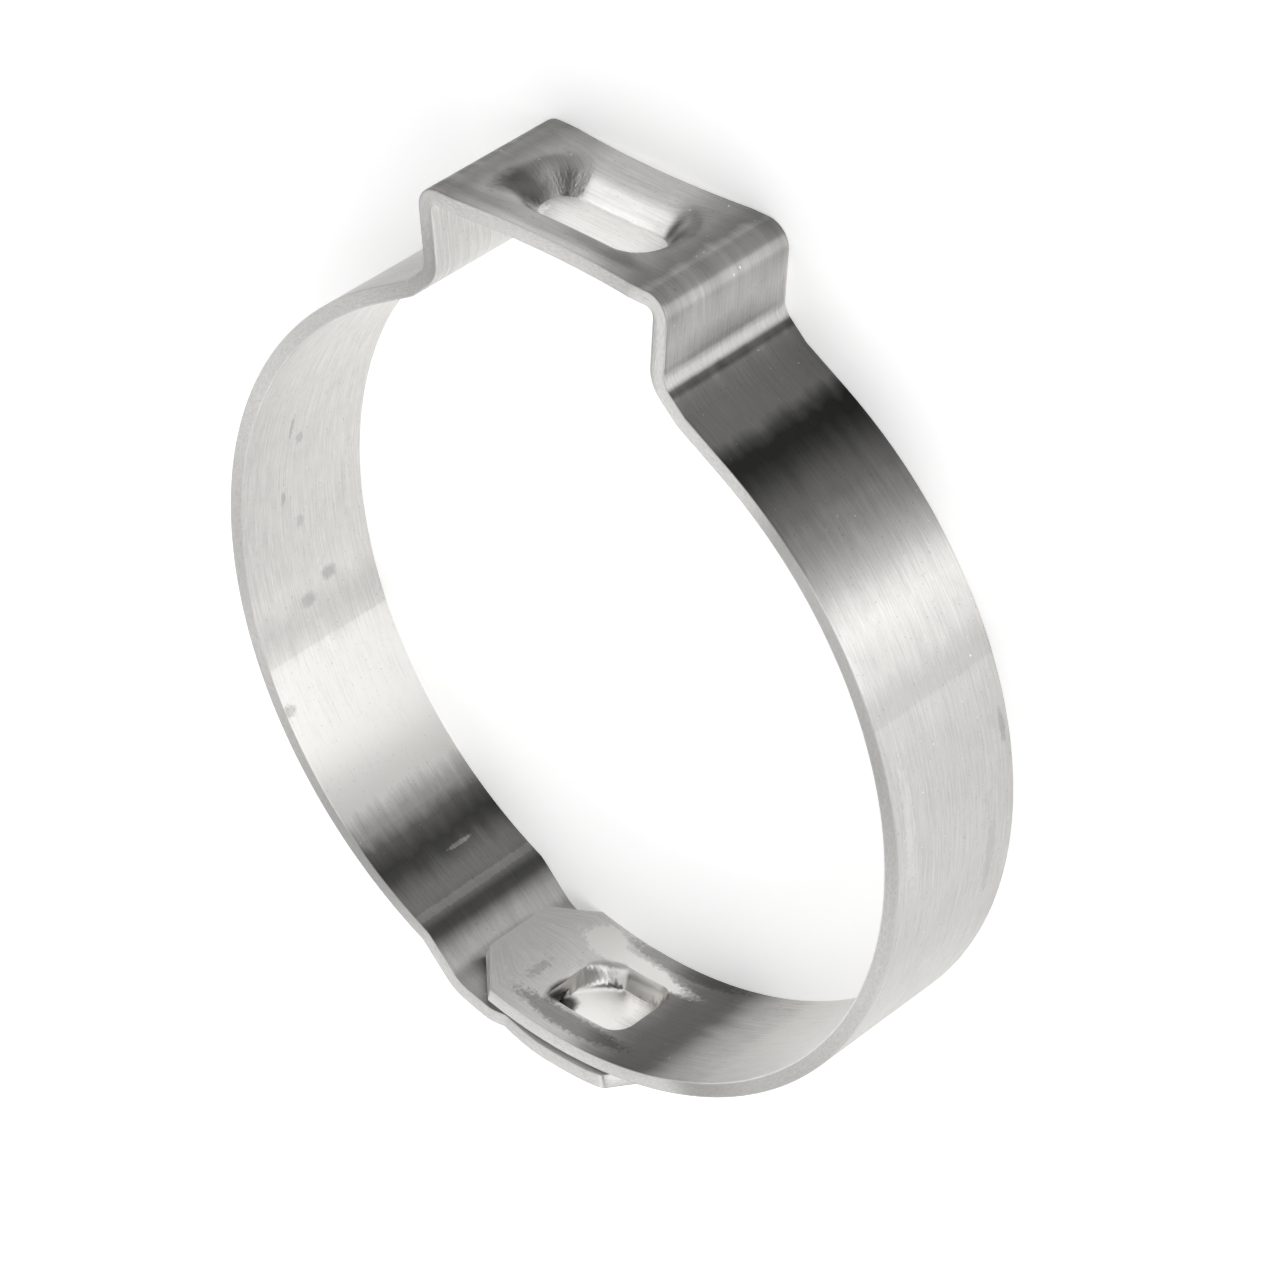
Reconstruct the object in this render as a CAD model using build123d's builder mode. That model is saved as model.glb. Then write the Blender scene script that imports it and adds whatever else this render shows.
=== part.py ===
from build123d import *
from math import atan2, cos, degrees, radians, sin, tan
import os

# Single-ear hose clamp: one stainless strip wound into a ring, folded up into an ear at the top and
# closed at the bottom by a lap, where a hook drawn out of the inner layer sits in a window of the
# outer layer. Frame: bore axis on +Z, lower rim on z = 0, ear on +Y. Millimetres and degrees.

# Strip
strip_width = 7.0
strip_thickness = 0.7
edge_round = 0.18
corner_cut = 1.7

# Ring, with angles from the ear's axis
bore_radius = 17.4
shoulder_angle = 31.0

# Lap, with angles anticlockwise from +X
lap_gap = 0.3
tip_angle = 251.5
joggle_start_angle = 245.0
joggle_end_angle = 252.1
joggle_run = 1.5
joggle_start_radius = 1.0
joggle_end_radius = 1.5
tail_angle = 282.5

# Ear, measured on the inner face of the strip
ear_height = 3.5
ear_width = 11.5
ear_radius = 0.35
throat_inset = 0.25
throat_rise = 0.1
throat_radius = 1.6
foot_flare = 1.4
foot_radius = 0.95
waist_length = 9.0
waist_depth = 0.25

# Dimple pressed into the ear's top
dimple_length = 8.2
dimple_width = 5.0
dimple_corner = 2.2
dimple_depth = 1.1
dimple_floor_length = 5.8
dimple_floor_width = 1.8
dimple_floor_corner = 0.8
dimple_blend = 0.5

# Hook lanced across one end and drawn outwards from the inner layer
hook_angle = 262.8
hook_length = 4.1
hook_width = 3.7
hook_corner = 0.9
hook_draft = 0.35
hook_blend = 0.25
hook_clearance = 0.15

# Values that follow from the ones above
full_turn = 360.0
ear_angle = 90.0
mid_height = strip_width / 2
outer_radius = bore_radius + strip_thickness
lap_radius = outer_radius + lap_gap
lap_outer_radius = lap_radius + strip_thickness
ear_inner_top = bore_radius + ear_height
ear_outer_top = ear_inner_top + strip_thickness
waist_radius = ((waist_length / 2) ** 2 + waist_depth**2) / (2 * waist_depth)
waist_offset = mid_height + waist_radius - waist_depth
hook_depth = lap_outer_radius - outer_radius
hook_slope = hook_draft / hook_depth
hook_middle_angle = hook_angle + degrees(hook_length / 2 / bore_radius)


def polar(radius, angle):
    """Point on a circle round the bore axis."""
    return Vector(radius * cos(radians(angle)), radius * sin(radians(angle)))


def skin_growth(depth, run):
    """How much wider a pressed form is, each side, on its far skin than on its near one."""
    return strip_thickness * tan(atan2(depth, run) / 2)


# Inner face of the strip: tip, one side of the ring, ear, other side, joggle, tail
shoulder = polar(bore_radius, ear_angle - shoulder_angle)
throat = Vector(ear_width / 2 - throat_inset, bore_radius + throat_rise)
foot_climb = (shoulder.X - throat.X - foot_flare) * tan(radians(shoulder_angle))
foot = Vector(throat.X + foot_flare, shoulder.Y + foot_climb)
crown = Vector(ear_width / 2, ear_inner_top)
right_points = [shoulder, foot, throat, crown]
left_points = [Vector(-point.X, point.Y) for point in reversed(right_points)]
right_radii = [foot_radius, throat_radius, ear_radius]
run_stretch = 1 / cos(radians(joggle_run))

with BuildLine() as inner_face:
    CenterArc(
        (0, 0),
        bore_radius,
        tip_angle,
        full_turn + ear_angle - shoulder_angle - tip_angle,
    )
    FilletPolyline(*right_points, *left_points, radius=right_radii + right_radii[::-1])
    CenterArc(
        (0, 0),
        bore_radius,
        ear_angle + shoulder_angle,
        joggle_start_angle - joggle_run - ear_angle - shoulder_angle,
    )
    FilletPolyline(
        polar(bore_radius, joggle_start_angle - joggle_run),
        polar(bore_radius * run_stretch, joggle_start_angle),
        polar(lap_radius * run_stretch, joggle_end_angle),
        polar(lap_radius, joggle_end_angle + joggle_run),
        radius=[joggle_start_radius, joggle_end_radius],
    )
    CenterArc(
        (0, 0),
        lap_radius,
        joggle_end_angle + joggle_run,
        tail_angle - joggle_end_angle - joggle_run,
    )
strip_path = inner_face.wires()[0]

# Dimple: what the punch presses down, and the swell that it raises underneath
dimple_plane = Plane(
    origin=(0, ear_outer_top, mid_height), x_dir=(1, 0, 0), z_dir=(0, -1, 0)
)
dimple_end_growth = skin_growth(dimple_depth, (dimple_length - dimple_floor_length) / 2)
dimple_side_growth = skin_growth(dimple_depth, (dimple_width - dimple_floor_width) / 2)

with BuildPart() as dimple_punch:
    with BuildSketch(dimple_plane):
        RectangleRounded(dimple_length, dimple_width, dimple_corner)
    with BuildSketch(dimple_plane.offset(dimple_depth)):
        RectangleRounded(dimple_floor_length, dimple_floor_width, dimple_floor_corner)
    loft()
    fillet(dimple_punch.faces().sort_by(Axis.Y)[0].edges(), dimple_blend)

with BuildPart() as dimple_swell:
    with BuildSketch(dimple_plane.offset(strip_thickness)):
        RectangleRounded(
            dimple_length + 2 * dimple_end_growth,
            dimple_width + 2 * dimple_side_growth,
            dimple_corner + dimple_side_growth,
        )
    with BuildSketch(dimple_plane.offset(strip_thickness + dimple_depth)):
        RectangleRounded(
            dimple_floor_length + 2 * dimple_end_growth,
            dimple_floor_width + 2 * dimple_side_growth,
            dimple_floor_corner + dimple_side_growth,
        )
    loft()
    fillet(
        dimple_swell.faces().sort_by(Axis.Y)[0].edges(), dimple_blend + strip_thickness
    )

# Hook: local X runs anticlockwise round the ring from the lanced end, local Z outwards
hook_plane = Plane(
    origin=polar(bore_radius, hook_middle_angle) + Vector(0, 0, mid_height),
    x_dir=polar(1, hook_middle_angle + ear_angle),
    z_dir=polar(1, hook_middle_angle),
)
hook_growth = skin_growth(hook_depth, hook_draft)


def hook_outline(plane, growth, lead=0.0):
    """Outline across the hook, square at the lanced end and rounded at the closed one."""
    with BuildSketch(plane) as outline:
        with Locations((-hook_length / 2 - lead, 0)):
            Rectangle(
                lead + hook_length + growth,
                hook_width + 2 * growth,
                align=(Align.MIN, Align.CENTER),
            )
        fillet(outline.vertices().group_by(Axis.X)[-1], hook_corner + growth)
    return outline.sketch


mouth_outline = hook_outline(hook_plane.offset(-hook_depth), hook_draft)
floor_outline = hook_outline(hook_plane.offset(hook_depth), -hook_draft)
root_outline = hook_outline(hook_plane, hook_growth + hook_slope * strip_thickness)
crest_plane = hook_plane.offset(hook_depth + strip_thickness)
crest_outline = hook_outline(crest_plane, hook_growth - hook_draft)
window_outline = hook_outline(hook_plane, hook_growth + hook_clearance, hook_clearance)

with BuildPart() as hook_punch:
    loft([mouth_outline, floor_outline])
    hook_floor = hook_punch.faces().sort_by(Axis.Y)[0]
    fillet(hook_floor.edges().sort_by(Axis.X)[1:], hook_blend)

with BuildPart() as hook_shell:
    loft([root_outline, crest_outline])
    hook_crest = hook_shell.faces().sort_by(Axis.Y)[0]
    fillet(hook_crest.edges().sort_by(Axis.X)[1:], hook_blend + strip_thickness)

with BuildPart() as window:
    extrude(window_outline, amount=2 * (lap_outer_radius - bore_radius))
    Cylinder(
        outer_radius + lap_gap / 2,
        strip_width,
        align=(Align.CENTER, Align.CENTER, Align.MIN),
        mode=Mode.SUBTRACT,
    )

# Strip
section_plane = Plane(
    origin=polar(bore_radius, tip_angle),
    x_dir=polar(1, tip_angle),
    z_dir=polar(1, tip_angle + ear_angle),
)


def is_strip_corner(edge):
    """Whether an edge crosses the strip's thickness at one of its two ends."""
    middle = edge.center()
    level = abs(edge.position_at(0).Z - edge.position_at(1).Z) < edge_round
    ends = (
        polar(bore_radius + strip_thickness / 2, tip_angle),
        polar(lap_radius + strip_thickness / 2, tail_angle),
    )
    return level and any(
        (Vector(middle.X, middle.Y) - end).length < edge_round for end in ends
    )


def is_outer_rim(edge):
    """Whether an edge runs along the strip between a rim and the outer face."""
    middle = edge.position_at(1 / 2)
    skin = strip_path.distance_to(Vector(middle.X, middle.Y))
    level = abs(edge.position_at(0).Z - edge.position_at(1).Z) < edge_round
    on_outer_face = abs(skin - strip_thickness) < edge_round / 10
    return level and on_outer_face and edge.length > edge_round


with BuildPart() as clamp:
    with BuildSketch(section_plane):
        Rectangle(strip_thickness, strip_width, align=(Align.MIN, Align.MAX))
    sweep(path=strip_path)
    chamfer(clamp.edges().filter_by(is_strip_corner), corner_cut)
    for rim_side in (-1, 1):
        waist_centre = Vector(
            0, ear_inner_top - strip_thickness, mid_height + rim_side * waist_offset
        )
        with Locations(Plane(origin=waist_centre, z_dir=(0, 1, 0))):
            Cylinder(
                waist_radius,
                3 * strip_thickness,
                align=(Align.CENTER, Align.CENTER, Align.MIN),
                mode=Mode.SUBTRACT,
            )
    fillet(clamp.edges().filter_by(is_outer_rim), edge_round)

    add(dimple_swell.part)
    add(dimple_punch.part, mode=Mode.SUBTRACT)
    for skin_height in (ear_inner_top, ear_outer_top):
        pressed_face = clamp.faces().filter_by_position(
            Axis.Y, skin_height - edge_round / 10, skin_height + edge_round / 10
        )
        dimple_edge = pressed_face.filter_by(lambda face: face.inner_wires())[0]
        fillet(dimple_edge.inner_wires()[0].edges(), dimple_blend)

    add(window.part, mode=Mode.SUBTRACT)
    add(hook_shell.part)
    add(hook_punch.part, mode=Mode.SUBTRACT)

clamp.part.label = "clamp_band"

os.makedirs("parts", exist_ok=True)
export_step(clamp.part, "parts/clamp_band.step")
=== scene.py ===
"""Single-ear hose clamp: the strip as it is blanked, lanced, pressed and bent, dressed and lit."""

from __future__ import annotations

import logging
import math
from dataclasses import dataclass, field
from enum import Enum, IntEnum

import bmesh
import bpy
import numpy as np
from mathutils import Euler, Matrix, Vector


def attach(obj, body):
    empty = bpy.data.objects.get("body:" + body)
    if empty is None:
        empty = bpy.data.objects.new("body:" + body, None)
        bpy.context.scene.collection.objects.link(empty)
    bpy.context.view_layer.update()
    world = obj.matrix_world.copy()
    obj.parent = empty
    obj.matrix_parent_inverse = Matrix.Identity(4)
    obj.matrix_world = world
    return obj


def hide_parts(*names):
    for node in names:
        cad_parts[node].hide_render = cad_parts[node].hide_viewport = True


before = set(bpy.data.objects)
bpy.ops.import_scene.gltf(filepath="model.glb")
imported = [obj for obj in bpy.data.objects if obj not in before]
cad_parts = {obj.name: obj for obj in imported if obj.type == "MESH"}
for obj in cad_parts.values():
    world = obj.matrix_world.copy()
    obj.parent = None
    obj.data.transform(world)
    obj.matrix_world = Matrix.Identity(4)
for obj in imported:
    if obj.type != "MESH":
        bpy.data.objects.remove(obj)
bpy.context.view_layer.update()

log = logging.getLogger("hose_clamp")

# The strip's own sizes are in millimetres and the angles in degrees
MM = 0.001
FULL_TURN = 360.0
EAR_ANGLE = 90.0
SAME_PLACE = 1e-4
NEVER_ZERO = 1e-6

WHITE = (1.0, 1.0, 1.0, 1.0)

# What the strip's mesh keeps for its finish
FLAT_MAP = "flat"
SKIN_VALUE = "skin"
PRESSED_VALUE = "pressed"

Socket = bpy.types.NodeSocket
Stops = tuple[tuple[float, float], ...]


class Skin(Enum):
    """The two faces of the strip."""

    INNER = 0.0
    OUTER = 1.0


class RunNumber(IntEnum):
    """Places of some of the runs in the strip's path, counted from the tip."""

    EAR = 1
    THROAT = 4
    LEFT_SIDE = 14
    JOGGLE = 15
    JOGGLE_END = 19


@dataclass
class Run:
    """One straight run or one arc of the strip's inner face, its heading in radians."""

    start: Vector
    heading: float
    length: float
    radius: float = 0.0
    turn: float = 0.0

    def place(self, along: float) -> tuple[Vector, float]:
        """Follow the run from its start.

        Args:
            along: Distance from the start of the run.

        Returns:
            The point reached and the heading there, in radians.
        """
        if not self.turn:
            ahead = Vector((math.cos(self.heading), math.sin(self.heading)))
            return self.start + ahead * along, self.heading
        swing = self.turn * along / self.radius
        left = Vector((-math.sin(self.heading), math.cos(self.heading))) * self.turn
        centre = self.start + left * self.radius
        heading = self.heading + swing
        back = Vector((math.sin(heading), -math.cos(heading))) * self.turn
        return centre + back * self.radius, heading


@dataclass
class StripPath:
    """Line of the strip's inner face, from the tip under the lap to the tail over it."""

    bore: float = 17.4
    thickness: float = 0.7
    lap_gap: float = 0.3
    shoulder_angle: float = 31.0
    foot_flare: float = 1.4
    foot_radius: float = 0.95
    ear_height: float = 3.5
    ear_width: float = 11.5
    ear_radius: float = 0.35
    throat_inset: float = 0.25
    throat_radius: float = 1.6
    throat_rise: float = 0.1
    tip_angle: float = 251.5
    joggle_start: float = 245.0
    joggle_end: float = 252.1
    joggle_run: float = 1.5
    joggle_in_radius: float = 1.0
    joggle_out_radius: float = 1.5
    tail_angle: float = 282.5
    runs: list[Run] = field(default_factory=list)

    def __post_init__(self) -> None:
        """Lay the runs end to end."""
        joggle_in = self.joggle_start - self.joggle_run
        joggle_out = self.joggle_end + self.joggle_run
        stretch = 1 / math.cos(math.radians(self.joggle_run))
        corners = [
            self.polar(self.bore, joggle_in),
            self.polar(self.bore * stretch, self.joggle_start),
            self.polar(self.lap_radius * stretch, self.joggle_end),
            self.polar(self.lap_radius, joggle_out),
        ]
        radii = [self.foot_radius, self.throat_radius, self.ear_radius]
        self._arc(self.bore, self.tip_angle, FULL_TURN + EAR_ANGLE - self.shoulder_angle)
        self._bends(self._ear_points(), radii + radii[::-1])
        self._arc(self.bore, EAR_ANGLE + self.shoulder_angle, joggle_in)
        self._bends(corners, [self.joggle_in_radius, self.joggle_out_radius])
        self._arc(self.lap_radius, joggle_out, self.tail_angle)

    @staticmethod
    def polar(radius: float, angle: float) -> Vector:
        """Return the point on a circle round the bore axis."""
        turn = math.radians(angle)
        return Vector((radius * math.cos(turn), radius * math.sin(turn)))

    def _ear_points(self) -> list[Vector]:
        """Return the corners of the ear's inner face, right side first."""
        slope = math.radians(self.shoulder_angle)
        shoulder = self.polar(self.bore, EAR_ANGLE - self.shoulder_angle)
        throat_x = self.ear_width / 2 - self.throat_inset
        reach = (shoulder.x - throat_x - self.foot_flare) / math.cos(slope)
        right = [
            shoulder,
            shoulder + Vector((-math.cos(slope), math.sin(slope))) * reach,
            Vector((throat_x, self.bore + self.throat_rise)),
            Vector((self.ear_width / 2, self.bore + self.ear_height)),
        ]
        return right + [Vector((-point.x, point.y)) for point in reversed(right)]

    def _arc(self, radius: float, start: float, end: float) -> None:
        """Add an anticlockwise arc round the bore axis, from one angle to another."""
        heading, length = math.radians(start + EAR_ANGLE), math.radians(end - start) * radius
        self.runs.append(Run(self.polar(radius, start), heading, length, radius, 1.0))

    def _bends(self, corners: list[Vector], radii: list[float]) -> None:
        """Add straight runs between corners with an arc at each bend.

        Args:
            corners: Ends and corners of the runs.
            radii: Radius of the inner face at each corner between the ends.
        """
        at = corners[0]
        for corner, after, radius in zip(corners[1:-1], corners[2:], radii):
            heading = math.atan2(corner.y - at.y, corner.x - at.x)
            onward = math.atan2(after.y - corner.y, after.x - corner.x)
            turn = (onward - heading + math.pi) % (2 * math.pi) - math.pi
            trim = radius * math.tan(abs(turn) / 2)
            straight = (corner - at).length - trim
            self.runs.append(Run(at.copy(), heading, straight))
            bend_start = at + (corner - at).normalized() * straight
            bend = Run(bend_start, heading, radius * abs(turn), radius, math.copysign(1.0, turn))
            self.runs.append(bend)
            at = bend.place(bend.length)[0]
        last = corners[-1] - at
        self.runs.append(Run(at.copy(), math.atan2(last.y, last.x), last.length))

    @property
    def lap_radius(self) -> float:
        """Radius of the inner face where the strip laps over itself."""
        return self.bore + self.thickness + self.lap_gap

    @property
    def length(self) -> float:
        """Developed length of the inner face."""
        return self.start_of(len(self.runs))

    @property
    def ear_middle(self) -> float:
        """Distance of the ear's middle from the tip."""
        ear = self.runs[RunNumber.EAR : RunNumber.LEFT_SIDE]
        return self.start_of(RunNumber.EAR) + sum(run.length for run in ear) / 2

    def start_of(self, number: int) -> float:
        """Return how far from the tip a run starts, given its place in the path."""
        return sum(run.length for run in self.runs[:number])

    def around(self, angle: float) -> float:
        """Find an angle on the ring's single layer.

        Args:
            angle: The angle, which may run past a full turn on the ring's right side.

        Returns:
            Its distance from the tip.
        """
        left_side = EAR_ANGLE + self.shoulder_angle
        if left_side <= angle < self.tip_angle:
            before = self.start_of(RunNumber.LEFT_SIDE)
            return before + math.radians(angle - left_side) * self.bore
        return math.radians((angle - self.tip_angle) % FULL_TURN) * self.bore

    def place(self, along: float) -> tuple[Vector, Vector]:
        """Find a point on the line.

        Args:
            along: Distance from the tip.

        Returns:
            The point and the unit normal that points away from the bore.
        """
        for run in self.runs[:-1]:
            if along <= run.length:
                break
            along -= run.length
        else:
            run = self.runs[-1]
        point, heading = run.place(along)
        return point, Vector((math.sin(heading), -math.cos(heading)))


@dataclass(frozen=True)
class Dimple:
    """Elongated dimple pressed into the ear's top, sized on the inner face."""

    length: float = 8.7
    width: float = 5.4
    corner: float = 2.4
    depth: float = 1.1
    floor_length: float = 6.2
    floor_width: float = 2.2
    floor_corner: float = 1.0


@dataclass(frozen=True)
class Hook:
    """Pocket lanced across one end and drawn outwards from the inner layer."""

    angle: float = 262.8
    length: float = 4.1
    width: float = 3.7
    corner: float = 0.9
    draft: float = 0.35
    depth: float = 1.0
    clearance: float = 0.15
    slit_start: float = -0.35
    heel: float = 1.4
    heel_slope: float = 0.8


@dataclass(frozen=True)
class Waist:
    """Shallow hollow in each rim where the ear was pinched."""

    length: float = 9.0
    depth: float = 0.25


@dataclass(frozen=True)
class Rim:
    """How far each kind of edge is rounded, in how many steps, and what still looks smooth."""

    outer: float = 0.18
    inner: float = 0.07
    steps: int = 3
    smooth_angle: float = 40.0


@dataclass(frozen=True)
class Grid:
    """How finely the flat strip is divided: the distances between its rows, then its columns.

    Rows lie closer up to a margin past the hook and the dimple, and in bends below a tight radius.
    The shares place columns on the hook's draft.
    """

    plain: float = 0.5
    hook: float = 0.11
    pressed: float = 0.13
    tail: float = 0.17
    bend: float = 0.09
    tight_bend: float = 3.0
    margin: float = 1.0
    floor_columns: int = 9
    rim_columns: int = 7
    draft_shares: tuple[float, ...] = (-1.0, -0.75, -0.5, -0.25, 0.0, 0.35)


def smooth(value: np.ndarray) -> np.ndarray:
    """Return a smooth step over values from 0 to 1."""
    value = np.clip(value, 0.0, 1.0)
    return value * value * (3.0 - 2.0 * value)


def round_corners(
    flat: np.ndarray,
    chosen: np.ndarray,
    middle: float,
    half: tuple[float, float],
    corner: float,
) -> None:
    """Draw the grid lines round a rectangle's corners so that they follow its corner radius.

    Args:
        flat: Places on the flat strip, changed in place.
        chosen: Which of them may move.
        middle: Distance of the rectangle's middle from the tip.
        half: Half its length and half its width.
        corner: Its corner radius.
    """
    along, across = flat[chosen, 0] - middle, flat[chosen, 1]
    from_side = np.abs(along) - (half[0] - corner)
    from_edge = np.abs(across) - (half[1] - corner)
    near = (from_side > 0) & (from_edge > 0)
    reach = np.maximum(from_side, from_edge)[near]
    radial = np.hypot(from_side, from_edge)[near]
    fade = 1.0 - smooth((reach - corner) / corner)
    pull = fade * (1.0 - reach / radial)
    along[near] -= np.sign(along[near]) * from_side[near] * pull
    across[near] -= np.sign(across[near]) * from_edge[near] * pull
    flat[chosen, 0], flat[chosen, 1] = along + middle, across


def inset(
    along: np.ndarray, across: np.ndarray, half: tuple[float, float], corner: float
) -> np.ndarray:
    """Measure how far points lie inside a rounded rectangle.

    Args:
        along: Distances from the rectangle's middle along the strip.
        across: Distances from its middle across the strip.
        half: Half its length and half its width.
        corner: Its corner radius.

    Returns:
        How far each point lies inside, negative outside.
    """
    from_side = np.abs(along) - (half[0] - corner)
    from_edge = np.abs(across) - (half[1] - corner)
    outside = np.hypot(np.maximum(from_side, 0.0), np.maximum(from_edge, 0.0))
    return corner - outside - np.minimum(np.maximum(from_side, from_edge), 0.0)


def positions(mesh: bpy.types.Mesh) -> np.ndarray:
    """Read a mesh's vertex positions.

    Args:
        mesh: The mesh.

    Returns:
        The positions, one row each.
    """
    found = np.empty(len(mesh.vertices) * 3)
    mesh.vertices.foreach_get("co", found)
    return found.reshape(-1, 3)


def choose(piece: bpy.types.Object) -> None:
    """Select one piece alone and make it the active one.

    Args:
        piece: The piece.
    """
    bpy.ops.object.select_all(action="DESELECT")
    piece.select_set(True)
    bpy.context.view_layer.objects.active = piece


def apply_modifiers(piece: bpy.types.Object) -> None:
    """Apply every modifier on a piece.

    Args:
        piece: The piece.
    """
    choose(piece)
    for modifier in list(piece.modifiers):
        bpy.ops.object.modifier_apply(modifier=modifier.name)


@dataclass
class ClampBand:
    """The strip: blanked flat, lanced, pressed, bent along its path and given its thickness."""

    path: StripPath
    width: float = 7.0
    corner_cut: float = 1.7
    dimple: Dimple = field(default_factory=Dimple)
    hook: Hook = field(default_factory=Hook)
    waist: Waist = field(default_factory=Waist)
    rim: Rim = field(default_factory=Rim)
    grid: Grid = field(default_factory=Grid)
    name: str = "strip"
    hook_start: float = field(init=False)
    hook_end: float = field(init=False)
    window: tuple[float, float] = field(init=False)
    window_half: float = field(init=False)
    window_corner: float = field(init=False)

    def __post_init__(self) -> None:
        """Find where the hook and its window lie on the flat strip."""
        path, hook = self.path, self.hook
        self.hook_start = math.radians(hook.angle - path.tip_angle) * path.bore
        self.hook_end = self.hook_start + hook.length
        growth = path.thickness * math.tan(math.atan2(hook.depth, hook.draft) / 2)
        spare = growth + hook.clearance
        tail_side = path.length - math.radians(path.tail_angle) * path.lap_radius
        lanced_end = math.radians(hook.angle)
        closed_end = lanced_end + (hook.length + spare) / path.bore
        self.window = (
            tail_side + lanced_end * path.lap_radius - hook.clearance,
            tail_side + closed_end * path.lap_radius,
        )
        self.window_half = hook.width / 2 + spare
        self.window_corner = hook.corner + spare

    def _rows(self) -> np.ndarray:
        """Return the distances of the grid's rows from the tip."""
        path, hook = self.path, self.hook
        starts = [path.start_of(number) for number in range(len(path.runs) + 1)]
        ends = [self.corner_cut, path.length - self.corner_cut]
        lance = [self.hook_start] + [self.hook_end - hook.draft * part for part in (1.0, 0.5, 0.0)]
        fixed = sorted(set(starts + ends + lance + list(self.window)))
        bends = [
            (start, end)
            for start, end, run in zip(starts, starts[1:], path.runs)
            if 0.0 < run.radius < self.grid.tight_bend
        ]
        rows = [0.0]
        for start, end in zip(fixed, fixed[1:]):
            count = max(1, math.ceil((end - start) / self._pitch((start + end) / 2, bends)))
            rows += [start + (end - start) * (i + 1) / count for i in range(count)]
        return np.array(rows)

    def _pitch(self, place: float, bends: list[tuple[float, float]]) -> float:
        """Choose how far apart the grid's rows are.

        Args:
            place: Distance from the tip.
            bends: Start and end of each tight bend.

        Returns:
            The distance between rows there.
        """
        grid = self.grid
        on_dimple = abs(place - self.path.ear_middle) < self.dimple.length / 2 + grid.margin
        if any(start <= place <= end for start, end in bends):
            return grid.bend
        if self.hook_start - grid.margin < place < self.hook_end + grid.margin:
            return grid.hook
        if place < self.hook_end + 2 * grid.margin or on_dimple:
            return grid.pressed
        return grid.tail if place > self.path.start_of(RunNumber.JOGGLE_END) else grid.plain

    def _columns(self) -> np.ndarray:
        """Return the distances of the grid's columns from the strip's middle line."""
        side, draft, grid = self.hook.width / 2, self.hook.draft, self.grid
        floor = list(np.linspace(0.0, side - draft, grid.floor_columns)[:-1])
        slope = [side + draft * share for share in grid.draft_shares]
        rim = list(np.linspace(self.window_half, self.width / 2, grid.rim_columns))
        half = np.array(floor + slope + [(slope[-1] + self.window_half) / 2] + rim)
        return np.concatenate([-half[:0:-1], half])

    def _blank(self) -> bpy.types.Object:
        """Make the flat blank, cut its window and lance the slit across the hook."""
        rows, columns = self._rows(), self._columns()
        bpy.ops.object.select_all(action="DESELECT")
        bpy.ops.mesh.primitive_grid_add(
            x_subdivisions=len(rows) - 1, y_subdivisions=len(columns) - 1, size=2
        )
        blank = bpy.context.object
        blank.name = self.name
        blank.data.name = self.name
        flat = positions(blank.data)
        row = np.rint((flat[:, 0] + 1) / 2 * (len(rows) - 1)).astype(int)
        column = np.rint((flat[:, 1] + 1) / 2 * (len(columns) - 1)).astype(int)
        flat[:, 0], flat[:, 1], flat[:, 2] = rows[row], columns[column], 0.0
        blank.data.vertices.foreach_set("co", flat.ravel())
        sheet = bmesh.new()
        sheet.from_mesh(blank.data)
        window = [face for face in sheet.faces if self._in_window(face.calc_center_median())]
        bmesh.ops.delete(sheet, geom=window, context="FACES")
        slit = [edge for edge in sheet.edges if self._on_slit(edge)]
        bmesh.ops.split_edges(sheet, edges=slit)
        sheet.to_mesh(blank.data)
        sheet.free()
        log.info("blank: %d rows, %d columns", len(rows), len(columns))
        return blank

    def _in_window(self, point: Vector) -> bool:
        """Return whether a point of the flat strip lies in the window."""
        return self.window[0] < point.x < self.window[1] and abs(point.y) < self.window_half

    def _on_slit(self, edge: bmesh.types.BMEdge) -> bool:
        """Tell whether an edge of the flat strip lies on the lanced slit.

        Args:
            edge: The edge.

        Returns:
            Whether it does.
        """
        on_line = all(abs(vert.co.x - self.hook_start) < SAME_PLACE for vert in edge.verts)
        across = sum(vert.co.y for vert in edge.verts) / 2
        return on_line and self.hook.slit_start < across < self.hook.width / 2

    def _beyond_slit(self, mesh: bpy.types.Mesh) -> np.ndarray:
        """Find the hook's side of the slit.

        Args:
            mesh: The flat blank.

        Returns:
            Which of its vertices belong to faces beyond the slit, seen from the tip.
        """
        beyond = np.zeros(len(mesh.vertices), bool)
        for face in mesh.polygons:
            beyond[list(face.vertices)] |= face.center.x > self.hook_start
        return beyond

    def _press(self, flat: np.ndarray, beyond_slit: np.ndarray) -> np.ndarray:
        """Draw the hook and press the dimple.

        Args:
            flat: Places on the flat strip, drawn round the corners in place.
            beyond_slit: Which vertices lie beyond the slit.

        Returns:
            How far each vertex is moved away from the bore.
        """
        hook = self.hook
        on_tail = flat[:, 0] > self.path.ear_middle
        middle = (self.window[0] + self.window[1]) / 2
        half = ((self.window[1] - self.window[0]) / 2, self.window_half)
        round_corners(flat, on_tail, middle, half, self.window_corner)
        closed_end = ~on_tail & (flat[:, 0] > self.hook_end - hook.length / 2)
        half = (hook.length, hook.width / 2)
        round_corners(flat, closed_end, self.hook_start, half, hook.corner)
        return self._drawn(flat) * beyond_slit * ~on_tail - self._sunk(flat)

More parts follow.
